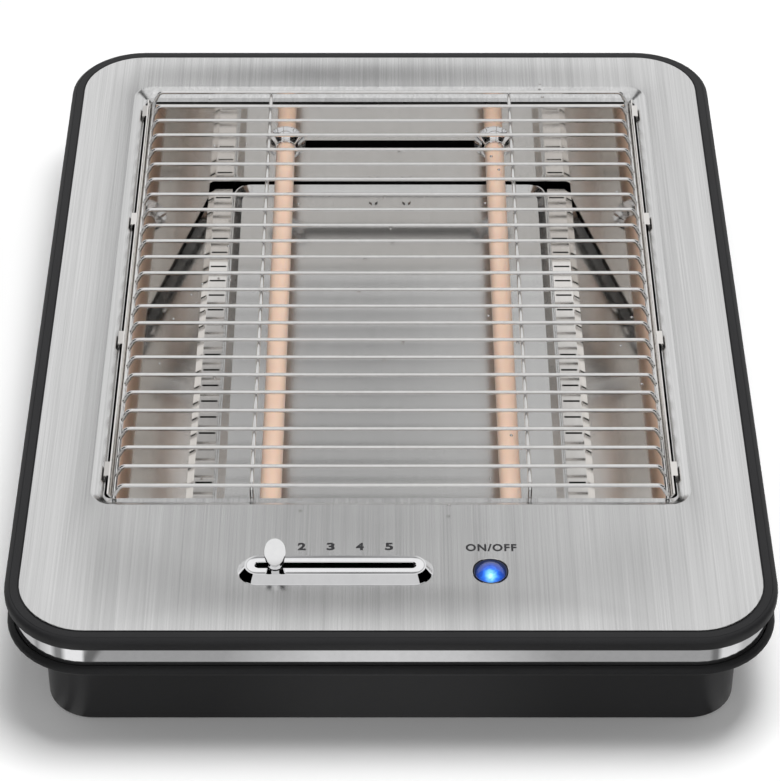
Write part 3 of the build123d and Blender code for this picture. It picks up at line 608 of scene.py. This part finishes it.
makeWorld()
makeLamp()
makeFloor()
print("studio ready")


# finishes of this object

plateSteel = metalFinish("plateSteel", (0.60, 0.60, 0.60), (0.84, 0.84, 0.84), rough=0.20, lines=1500.0,
                         length=9.0, depth=0.000004, anisotropic=0.35)
brightTrim = metalFinish("brightTrim", (0.78, 0.78, 0.79), (0.86, 0.86, 0.87), rough=0.06, lines=300.0,
                         length=60.0, depth=0.0000004, marks=0.03)
bezelChrome = metalFinish("bezelChrome", (0.78, 0.78, 0.79), (0.84, 0.84, 0.85), rough=0.02, lines=300.0,
                          length=60.0, depth=0.0000002, marks=0.01)
mirrorSheet = metalFinish("mirrorSheet", (0.80, 0.775, 0.75), (0.87, 0.85, 0.825), rough=0.045,
                          lines=500.0, length=12.0, depth=0.0000004, marks=0.02)
traySteel = metalFinish("traySteel", (0.74, 0.74, 0.735), (0.80, 0.80, 0.795), rough=0.16, lines=900.0,
                        length=10.0, depth=0.0000001, marks=0.02)
wireSteel = metalFinish("wireSteel", (0.76, 0.75, 0.74), (0.86, 0.855, 0.85), rough=0.13, lines=600.0,
                        length=600.0, depth=0.000001)
zincSteel = metalFinish("zincSteel", (0.48, 0.49, 0.52), (0.66, 0.67, 0.70), rough=0.34, lines=300.0,
                        length=300.0, depth=0.000004)
coilWire = metalFinish("coilWire", (0.20, 0.17, 0.15), (0.34, 0.29, 0.26), rough=0.5, lines=900.0,
                       length=900.0, depth=0.000004)
knobMetal = metalFinish("knobMetal", (0.86, 0.86, 0.87), (0.92, 0.92, 0.92), rough=0.05, lines=500.0,
                        length=500.0, depth=0.0000003, marks=0.02)
rimPlastic = plasticFinish("rimPlastic", (0.0155, 0.0155, 0.0165), rough=0.46, specular=0.27)
basePlastic = plasticFinish("basePlastic", (0.0155, 0.0155, 0.0165), rough=0.50, specular=0.24)
innerPlastic = plasticFinish("innerPlastic", (0.08, 0.08, 0.085), rough=0.45)
rubberFoot = plasticFinish("rubberFoot", (0.03, 0.03, 0.03), rough=0.8, depth=0.00005, size=1400.0)
ceramicCap = plasticFinish("ceramicCap", (0.80, 0.77, 0.70), rough=0.62, depth=0.00003, size=1600.0)
boardCoat = plasticFinish("boardCoat", (0.03, 0.20, 0.08), rough=0.25, depth=0.00001, size=900.0, coat=0.5)


def quartzFinish():
    # milky glass with faint drawn streaks
    material, tree, shader, place = startMaterial(
        "opalQuartz", Roughness=0.3, Subsurface_Weight=0.25, Subsurface_Radius=(0.004, 0.0022, 0.0012),
        Specular_IOR_Level=0.15)
    streaks = groupNode(tree, "beltLines", place, Lines=260.0, Length=14.0)
    share = mapRange(tree, streaks.outputs["Broad"], 0.35, 0.65, 0.0, 1.0)
    tree.links.new(mixColour(tree, share, (0.80, 0.57, 0.44), (0.84, 0.63, 0.505)),
                   shader.inputs["Base Color"])
    bumpInto(tree, shader, streaks.outputs["Broad"], 0.00001)
    return material


opalQuartz = quartzFinish()

lensPaintedGlow = {"x": 0.0365, "y": -0.1558, "reach": (0.0010, 0.0078), "swirl": 260.0, "stir": 0.0026,
            "strength": 0.55,
            "colours": [(0.0, (0.62, 0.90, 1.0)), (0.20, (0.16, 0.52, 0.98)), (0.42, (0.03, 0.16, 0.72)),
                        (0.65, (0.015, 0.06, 0.36)), (1.0, (0.01, 0.03, 0.16))]}


def lensFinish():
    # painted light: the lens gives out its own glow, brightest near its front and darker towards its rim,
    # stirred by the moulded pattern inside
    material, tree, shader, place = startMaterial(
        "blueLens", Roughness=0.08, Coat_Weight=0.5, Coat_Roughness=0.03, Specular_IOR_Level=0.35,
        Emission_Strength=lensPaintedGlow["strength"])
    x, y, _ = addNode(tree, "ShaderNodeSeparateXYZ", [(0, place)]).outputs
    across = mathNode(tree, "SUBTRACT", x, lensPaintedGlow["x"])
    along = mathNode(tree, "SUBTRACT", y, lensPaintedGlow["y"])
    away = mathNode(tree, "SQRT", mathNode(tree, "ADD", product(tree, across, across),
                                           product(tree, along, along)))
    swirl = addNode(tree, "ShaderNodeTexNoise", [("Vector", place)], in_Scale=lensPaintedGlow["swirl"],
                    in_Detail=3.0, in_Distortion=2.2)
    wavy = mathNode(tree, "ADD", away, product(tree, swirl.outputs[0], lensPaintedGlow["stir"]))
    # one ramp gives both the colour and the painted glow, fading to dark blue at the rim as painted shade
    colour = rampNode(tree, mapRange(tree, wavy, *lensPaintedGlow["reach"], 0.0, 1.0), lensPaintedGlow["colours"])
    tree.links.new(colour, shader.inputs["Base Color"])
    tree.links.new(colour, shader.inputs["Emission Color"])
    bumpInto(tree, shader, swirl.outputs[0], 0.00006)
    return material


blueLens = lensFinish()


def ringFinish():
    # bright lip, with a rougher turned countersink below it whose colour is painted darker, as shade in the
    # recess
    material, tree, shader, place = startMaterial("ringMetal", Metallic=1.0)
    height = addNode(tree, "ShaderNodeSeparateXYZ", [(0, place)]).outputs[2]
    # below the plate top: painted shade in the colour, and a rougher finish
    recessShadeAndDull = mapRange(tree, height, 0.0573, 0.05742, 1.0, 0.0)
    tree.links.new(mixColour(tree, recessShadeAndDull, (0.80, 0.80, 0.81), (0.58, 0.585, 0.56)),
                   shader.inputs["Base Color"])
    tree.links.new(mapRange(tree, recessShadeAndDull, 0.0, 1.0, 0.07, 0.36), shader.inputs["Roughness"])
    return material


ringMetal = ringFinish()
printInk = startMaterial("printInk", Roughness=0.5, Base_Color=(0.018, 0.018, 0.02, 1))[0]

nodeFinish = {
    "front_wall": mirrorSheet, "rear_wall": mirrorSheet, "side_reflector_left": mirrorSheet,
    "side_reflector_right": mirrorSheet, "crumb_tray": traySteel, "tray_rivets": traySteel,
    "tray_catch": traySteel, "heat_shield": traySteel, "tray_runner_left": traySteel,
    "tray_runner_right": traySteel, "housing_screws": zincSteel, "chamber_screws": zincSteel,
    "board_screws": zincSteel, "board_standoffs": zincSteel, "tube_brackets": zincSteel,
    "tube_terminals": zincSteel, "slider_lever": zincSteel, "button_spring": zincSteel,
    "thermostat": zincSteel, "end_caps": ceramicCap, "heating_coil_left": coilWire,
    "heating_coil_right": coilWire, "rubber_feet": rubberFoot, "inlet_grommet": rubberFoot,
    "slide_potentiometer": innerPlastic, "button_plunger": innerPlastic, "push_switch": innerPlastic,
    "relay": innerPlastic, "capacitor": innerPlastic, "terminal_block": innerPlastic,
    "status_led": blueLens, "control_board": boardCoat, "tray_front": basePlastic,
}
for nodeName, material in nodeFinish.items():
    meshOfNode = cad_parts[nodeName].data
    meshOfNode.materials.clear()
    meshOfNode.materials.append(material)
print("finishes ready")


# steel plate with its drawn opening

plate = {"half": (136.0, 182.7), "corner": 25.6, "thick": 0.8, "edge": 0.25, "drop": 3.0, "slope": 4.5,
         "roll": 1.1, "foot": 0.7, "well": (-108.8, 108.8, -111.5, 155.0), "wellCorner": 3.5,
         "opening": (-108.6, 108.6, -109.3, 152.0, 2.5), "slotHole": (-20.4, -152.0, 64.7, 9.1),
         "buttonHole": (36.5, -152.2, 6.1), "cut": (50.0, 62.0)}


def bodyRing(reach, height):
    halfX, halfY = (half + reach for half in plate["half"])
    return boxRing(-halfX, halfX, -halfY, halfY, plate["corner"] + reach, height)


def wellRing(grow, height):
    left, right, front, back = plate["well"]
    return boxRing(left - grow, right + grow, front - grow, back + grow, plate["wellCorner"] + grow, height)


def makePlate():
    under = plateTop - plate["thick"]
    low = plateTop - plate["drop"]
    # the end points only give a direction and are dropped
    edge = soften([(0.0, under, 0), (0.0, plateTop, plate["edge"]), (-5.0, plateTop, 0)], closed=False)
    slope = soften([(12.0, plateTop, 0), (plate["slope"], plateTop, plate["roll"]),
                    (0.0, low, plate["foot"]), (-0.19, low, 0)], closed=False, steps=5)
    rings = [bodyRing(0.0, under)]
    rings += [bodyRing(reach, height) for reach, height in edge[1:-1]]
    rings += [wellRing(grow, height) for grow, height in slope[1:-1]]
    rings += [boxRing(*plate["opening"], height) for height in (low, low - plate["thick"])]
    rings += [wellRing(0.4, low - plate["thick"]), wellRing(plate["slope"] + 0.1, under)]
    bm = bmesh.new()
    skinMesh(bm, rings, True)
    mesh = finishMesh(bm, "steelPlate")
    cutter = bmesh.new()
    skinMesh(cutter, [slotRing(*plate["slotHole"], height) for height in plate["cut"]], False)
    skinMesh(cutter, [roundRing(*plate["buttonHole"], height) for height in plate["cut"]], False)
    placePiece(cutMesh(mesh, finishMesh(cutter, "plateHoles")), plateSteel, ("top_plate",))


makePlate()


# rim, bright band and housing

shell = {"rimReach": 5.5, "rimLow": 51.3, "rimTop": 57.0, "rimRound": 1.94, "rimUnder": 2.0, "groove": 0.5,
         "crease": 3.5, "seatIn": -9.0, "seatTop": 56.5, "seatLow": 54.3, "wall": (-0.75, 1.65),
         "bandOut": 3.0, "bandIn": 1.8, "bandTop": 52.5, "bandLow": 42.5, "bandEdge": 0.1,
         "gapOut": 3.2, "gapDeep": 0.4}
housing = {"half": (129.0, 172.2), "corner": 18.0, "inset": -2.5, "floor": 3.3, "under": 41.2,
           "tubLow": 0.6, "tubEdge": 0.4, "lipStart": 3.1, "lipNeck": 2.9, "lipTop": 42.3, "lipLow": 39.5,
           "lipRound": 2.05, "lipThick": 2.0,
           "vent": (26.0, 4.0), "ventX": 104.0, "ventRows": 7, "ventPitch": 34.0, "ventDeep": (-2.0, 5.0),
           "footX": 100.0, "footY": 145.0, "footHole": 7.0, "footDeep": (-2.0, 2.0),
           "mouth": (-74.4, 74.4, 168.0, 175.0, 0.6), "mouthHeight": (3.29, 13.5),
           "inlet": (-96.0, 24.0), "inletRadius": 6.0}


def makeRim():
    reach, low, top = shell["rimReach"], shell["rimLow"], shell["rimTop"]
    crease, groove = shell["crease"], shell["groove"]
    wallIn, wallOut = shell["wall"]
    # up the outside, over the top with its fine crease, down the seat of the plate and the inner wall
    rim = soften([(reach, low, shell["rimUnder"]), (reach, top, shell["rimRound"]), (crease + 0.1, top, 0),
                  (crease, top - 0.14, 0), (crease - 0.1, top, 0.04), (groove, top, 0.3),
                  (groove, shell["seatTop"], 0), (shell["seatIn"], shell["seatTop"], 0),
                  (shell["seatIn"], shell["seatLow"], 0), (wallIn, shell["seatLow"], 0),
                  (wallIn, shell["bandLow"], 0), (wallOut, shell["bandLow"], 0),
                  (wallOut, low + shell["gapDeep"], 0), (shell["gapOut"], low + shell["gapDeep"], 0),
                  (shell["gapOut"], low, 0)], steps=6)
    skinPiece("upperRim", [bodyRing(*point) for point in rim], True, rimPlastic,
              ("upper_rim",))


def makeBand():
    out, inner, low, top = shell["bandOut"], shell["bandIn"], shell["bandLow"], shell["bandTop"]
    band = soften([(out, low, shell["bandEdge"]), (out, top, shell["bandEdge"]), (inner, top, 0),
                   (inner, low, 0)])
    skinPiece("trimBand", [bodyRing(*point) for point in band], True, brightTrim,
              ("trim_band",))


def tubRing(reach, height):
    halfX, halfY = (half + reach for half in housing["half"])
    return boxRing(-halfX, halfX, -halfY, halfY, housing["corner"] + reach, height)


def makeHousing():
    reach, bandLow, under = shell["rimReach"], shell["bandLow"], housing["under"]
    neck, start, lipIn = housing["lipNeck"], housing["lipStart"], shell["rimReach"] - housing["lipThick"]
    lip = soften([(0.0, bandLow, 0), (neck, bandLow, 0.1), (neck, under + 0.4, 0), (start, under + 0.4, 0),
                  (start, housing["lipTop"], 0.1), (reach, housing["lipTop"], housing["lipRound"]),
                  (reach, housing["lipLow"], 0.7), (lipIn, housing["lipLow"], 0.2), (lipIn, under, 0.3),
                  (0.0, under, 0)], closed=False, steps=6)
    tub = soften([(2.0, under, 0), (0.0, under, 1.0), (0.0, housing["tubLow"], housing["tubEdge"]),
                  (-3.0, housing["tubLow"], 0)], closed=False)
    bm = bmesh.new()
    skinMesh(bm, [tubRing(housing["inset"], housing["floor"]), tubRing(housing["inset"], bandLow - 0.1)]
             + [bodyRing(*point) for point in lip[1:-1]] + [tubRing(*point) for point in tub[1:]], False)
    mesh = finishMesh(bm, "baseHousing")
    cutter = bmesh.new()
    for side in (-1, 1):
        for row in range(housing["ventRows"]):
            middleY = (row - housing["ventRows"] // 2) * housing["ventPitch"]
            spot = [(side * housing["ventX"] + y, middleY + x)
                    for x, y, _ in slotRing(0, 0, *housing["vent"], 0)]
            skinMesh(cutter, [[(x, y, height) for x, y in spot] for height in housing["ventDeep"]], False)
        for y in (-housing["footY"], housing["footY"]):
            skinMesh(cutter, [roundRing(side * housing["footX"], y, housing["footHole"], height)
                              for height in housing["footDeep"]], False)
    skinMesh(cutter, [boxRing(*housing["mouth"], height) for height in housing["mouthHeight"]], False)
    skinMesh(cutter, [standAlongY(roundRing(0, 0, housing["inletRadius"], y), *housing["inlet"])
                      for y in housing["mouth"][2:4]], False)
    placePiece(cutMesh(mesh, finishMesh(cutter, "housingHoles")), basePlastic,
               ("base_housing",))


makeRim()
makeBand()
makeHousing()
print("plate and shell ready")


# wire rack

rack = {"count": 25, "pitch": 10.8, "front": -109.3, "height": 60.8, "wire": 0.8, "bend": 2.4,
        "half": 102.0, "foot": 104.4, "footHeight": 56.3, "longX": 52.6, "longDrop": 6.0, "rodX": 104.7,
        "rodHeight": 55.25, "rod": 0.9, "weld": 0.5, "weldShape": (1.5, 1.5, 0.7, 1), "seed": 7}


def makeRack():
    cross = pathCurve("crossWire", [
        (-rack["foot"], rack["front"], rack["footHeight"]), (-rack["half"], rack["front"], rack["height"]),
        (rack["half"], rack["front"], rack["height"]), (rack["foot"], rack["front"], rack["footHeight"])],
        rack["bend"])
    one = runTree(cross, wireTree, "crossWire", Radius=rack["wire"] * mm, Sides=12, Finish=wireSteel)
    row = runTree(one, rowTree, "crossWires", Count=rack["count"], Step=(0, rack["pitch"] * mm, 0),
                  Drift=(0.0001, 0.00008, 0.00003), Tilt=0.0007, Seed=rack["seed"], Finish=wireSteel)
    placePiece(row, wireSteel, ("rack_cross_wires",))
    height = rack["height"] - 2 * rack["wire"] - 0.02
    back = rack["front"] + (rack["count"] - 1) * rack["pitch"]
    for side, label in ((-1, "Left"), (1, "Right")):
        x = side * rack["longX"]
        front = rack["front"] + 1.0
        long = pathCurve("longWire", [(x, front, height - rack["longDrop"]), (x, front + 0.4, height),
                                      (x, back + 0.8, height)], rack["bend"])
        mesh = runTree(long, wireTree, "longWire" + label, Radius=rack["wire"] * mm, Sides=14,
                       Finish=wireSteel)
        placePiece(mesh, wireSteel, ("rack_long_wires",) if side < 0 else ())
        rod = [(0.05, rack["front"] - 1.0), (0.55, rack["front"] - 0.9), (rack["rod"], rack["front"] - 0.4),
               (rack["rod"], back + 0.4), (0.55, back + 0.9), (0.05, back + 1.0)]
        rings = [standAlongY(roundRing(0, 0, radius, y, 16), side * rack["rodX"], rack["rodHeight"])
                 for radius, y in rod]
        skinPiece("sideRod" + label, rings, False, wireSteel,
                  ("rack_side_rods",) if side < 0 else (), sharpness=60)
    bm = bmesh.new()
    weldPlace = Matrix.Translation(Vector((0, rack["front"], rack["height"] - rack["wire"])) * mm)
    bmesh.ops.create_icosphere(bm, subdivisions=1, radius=rack["weld"] * mm,
                               matrix=weldPlace @ Matrix.Diagonal(rack["weldShape"]))
    blob = finishMesh(bm, "weldSpot", 80)
    for side, label in ((-1, "Left"), (1, "Right")):
        spot = blob.copy()
        spot.transform(Matrix.Translation((side * rack["longX"] * mm, 0, 0)))
        mesh = runTree(spot, rowTree, "weldSpots" + label, Count=rack["count"],
                       Step=(0, rack["pitch"] * mm, 0), Drift=(0.0001, 0.0001, 0.0), Tilt=0.5,
                       Seed=rack["seed"] + side, Finish=wireSteel)
        placePiece(mesh, wireSteel)


makeRack()
print("rack ready")


# tubes and collars

tube = {"x": 46.7, "z": 33.1, "radius": 4.2, "wall": 0.9, "front": -124.0, "back": 163.5, "polish": 0.4}
collar = {"bore": 4.4, "mouth": 5.0, "depth": 6.0, "flare": 3.6, "curve": 2.2, "edge": 8.8, "neck": 6.1,
          "behind": 2.0, "walls": ((-111.0, 1), (150.5, -1))}


def makeTubes():
    inner = tube["radius"] - tube["wall"]
    profile = soften([(tube["radius"], tube["front"], tube["polish"]),
                      (tube["radius"], tube["back"], tube["polish"]), (inner, tube["back"], 0.3),
                      (inner, tube["front"], 0.3)])
    for side, label in ((-1, "Left"), (1, "Right")):
        rings = [standAlongY(roundRing(0, 0, radius, y, 40), side * tube["x"], tube["z"])
                 for radius, y in profile]
        skinPiece("quartzTube" + label, rings, True, opalQuartz,
                  ("quartz_tube_" + label.lower(),), sharpness=60)


def makeCollars():
    bore, mouth, depth = collar["bore"], collar["mouth"], collar["depth"]
    bell = [(bore, depth), (mouth - 0.25, depth), (mouth, depth - 0.25)]
    # flares out to its foot on the wall, half a millimetre high
    bell += [(mouth + collar["flare"] * (step / 10) ** collar["curve"],
              depth - 0.25 - (depth - 0.75) * step / 10) for step in range(1, 11)]
    bell += [(collar["edge"], 0.35), (collar["edge"], 0.0), (collar["neck"], 0.0),
             (collar["neck"], -collar["behind"]), (bore, -collar["behind"])]
    bm = bmesh.new()
    for side in (-1, 1):
        for wall, sense in collar["walls"]:
            skinMesh(bm, [standAlongY(roundRing(0, 0, radius, wall + sense * out, 48), side * tube["x"],
                                      tube["z"]) for radius, out in bell], True)
    placePiece(finishMesh(bm, "tubeCollars", 40), brightTrim, ("tube_rings",))


makeTubes()
makeCollars()
print("tubes ready")


# browning slider

slider = {"x": -20.4, "y": -152.0, "length": 71.8, "width": 15.2, "height": 3.0, "slope": 2.75,
          "slot": 58.9, "open": 3.0, "neck": (64.3, 8.7), "neckLow": 55.3}


def makeSlider():
    top = plateTop + slider["height"]
    length, width = slider["length"], slider["width"]
    flatLength, flatWidth = length - 2 * slider["slope"], width - 2 * slider["slope"]
    slot, slotWidth, low = slider["slot"], slider["open"], slider["neckLow"]
    # up the slope, over the flat, down into the slot and back under the plate
    plan = [(length, width, plateTop), (length, width, plateTop + 0.12),
            (length - 0.3, width - 0.3, plateTop + 0.2), (flatLength + 0.35, flatWidth + 0.35, top - 0.06),
            (flatLength - 0.2, flatWidth - 0.2, top - 0.01), (flatLength - 1.5, flatWidth - 1.5, top),
            (slot + 0.5, slotWidth + 0.5, top), (slot, slotWidth, top - 0.25), (slot, slotWidth, low),
            (*slider["neck"], low), (*slider["neck"], plateTop)]
    rings = [slotRing(slider["x"], slider["y"], *size) for size in plan]
    skinPiece("sliderBezel", rings, True, bezelChrome, ("slider_bezel",), sharpness=12)


makeSlider()

knob = {"x": -42.4, "low": 60.6, "centre": 67.05, "top": 4.07, "foot": 3.1, "slant": 36.0,
        "neck": (2.5, 1.25), "neckLow": 53.5}


def knobRing(radius, height, tilt=0.0, steps=56):
    # tilt raises the ring towards the back
    return [(knob["x"] + radius * math.cos(math.tau * step / steps),
             slider["y"] + radius * math.sin(math.tau * step / steps),
             height + tilt * radius * math.sin(math.tau * step / steps)) for step in range(steps)]


def makeKnob():
    slope = math.tan(math.radians(knob["slant"]))
    low, foot, centre, top = knob["low"], knob["foot"], knob["centre"], knob["top"]
    rings = [knobRing(foot - 0.4, low), knobRing(foot - 0.1, low + 0.12), knobRing(foot, low + 0.45),
             knobRing(top - 0.02, centre - 0.35, slope), knobRing(top - 0.1, centre - 0.1, slope),
             knobRing(top - 0.35, centre, slope), knobRing(1.0, centre, slope)]
    bm = bmesh.new()
    skinMesh(bm, rings, False)
    halfX, halfY = knob["neck"]
    skinMesh(bm, [boxRing(knob["x"] - halfX, knob["x"] + halfX, slider["y"] - halfY, slider["y"] + halfY,
                          0.3, height, 3) for height in (knob["neckLow"], low + 0.3)], False)
    placePiece(finishMesh(bm, "sliderKnob", 40), knobMetal, ("slider_knob",), "slider")


makeKnob()


# power button

button = {"x": 36.5, "y": -152.2, "lens": 5.35, "inner": 4.15, "edge": 56.8, "dome": 2.8, "skirt": 4.0,
          "hollow": 1.2, "ring": [(6.68, 57.42), (6.74, 57.45), (6.8, 57.4), (6.8, 57.3), (6.05, 57.3),
                                  (6.05, 50.3), (5.45, 50.3), (5.45, 55.5), (5.55, 55.7)]}


def buttonRing(radius, height, steps):
    return roundRing(button["x"], button["y"], radius, height, steps)


def makeButton():
    rings = [buttonRing(radius, height, 64) for radius, height in button["ring"]]
    skinPiece("buttonRing", rings, True, ringMetal, ("button_bezel",), sharpness=35)
    wide, edge, inner, dome = button["lens"], button["edge"], button["inner"], button["dome"]
    # from the middle of the hollow out over the skirt, then over the dome
    profile = [(0.4, edge - button["hollow"]), (inner, edge - button["hollow"]),
               (inner, edge - button["skirt"]), (wide, edge - button["skirt"]), (wide, edge - 0.05)]
    ball = (wide ** 2 + dome ** 2) / (2 * dome)
    for step in range(1, 13):
        radius = wide * (1 - step / 12.5)
        profile.append((radius, edge + dome - ball + math.sqrt(ball ** 2 - radius ** 2)))
    skinPiece("buttonLens", [buttonRing(radius, height, 56) for radius, height in profile], False, blueLens,
              ("button_lens",), "button", 50)


makeButton()


# printed scale

scale = {"y": -139.05, "places": {"1": -44.0, "2": -33.0, "3": -22.3, "4": -11.5, "5": -0.7},
         "width": 3.0, "oneWidth": 2.4, "height": 4.0, "bold": 0.042, "lift": 0.02}
powerWord = {"text": "ON/OFF", "x": 37.05, "y": -139.65, "width": 18.8, "height": 3.9, "bold": 0.036,
             "spread": 1.16}


def makePrint(name, text, x, y, width, height, bold, spread=1.0):
    # stretches the text to the given size, flat on the plate
    curve = bpy.data.curves.new(name, "FONT")
    curve.body = text
    curve.size = 1.0
    curve.offset = bold
    curve.space_character = spread
    curve.align_x = "CENTER"
    curve.align_y = "CENTER"
    holder = bpy.data.objects.new(name, curve)
    scene.collection.objects.link(holder)
    bpy.context.view_layer.update()
    mesh = bpy.data.meshes.new_from_object(holder.evaluated_get(bpy.context.evaluated_depsgraph_get()))
    bpy.data.objects.remove(holder)
    low = Vector((min(v.co.x for v in mesh.vertices), min(v.co.y for v in mesh.vertices), 0))
    high = Vector((max(v.co.x for v in mesh.vertices), max(v.co.y for v in mesh.vertices), 0))
    middle, size = (low + high) / 2, high - low
    place = Matrix.Translation(Vector((x, y, plateTop + scale["lift"])) * mm)
    stretch = Matrix.Diagonal((width * mm / size.x, height * mm / size.y, 1, 1))
    mesh.transform(place @ stretch @ Matrix.Translation(-middle))
    mesh.name = name
    placePiece(mesh, printInk)


for digit, digitX in scale["places"].items():
    digitWidth = scale["oneWidth"] if digit == "1" else scale["width"]
    makePrint("scale" + digit, digit, digitX, scale["y"], digitWidth, scale["height"], scale["bold"])
makePrint("powerWord", **powerWord)
print("controls ready")
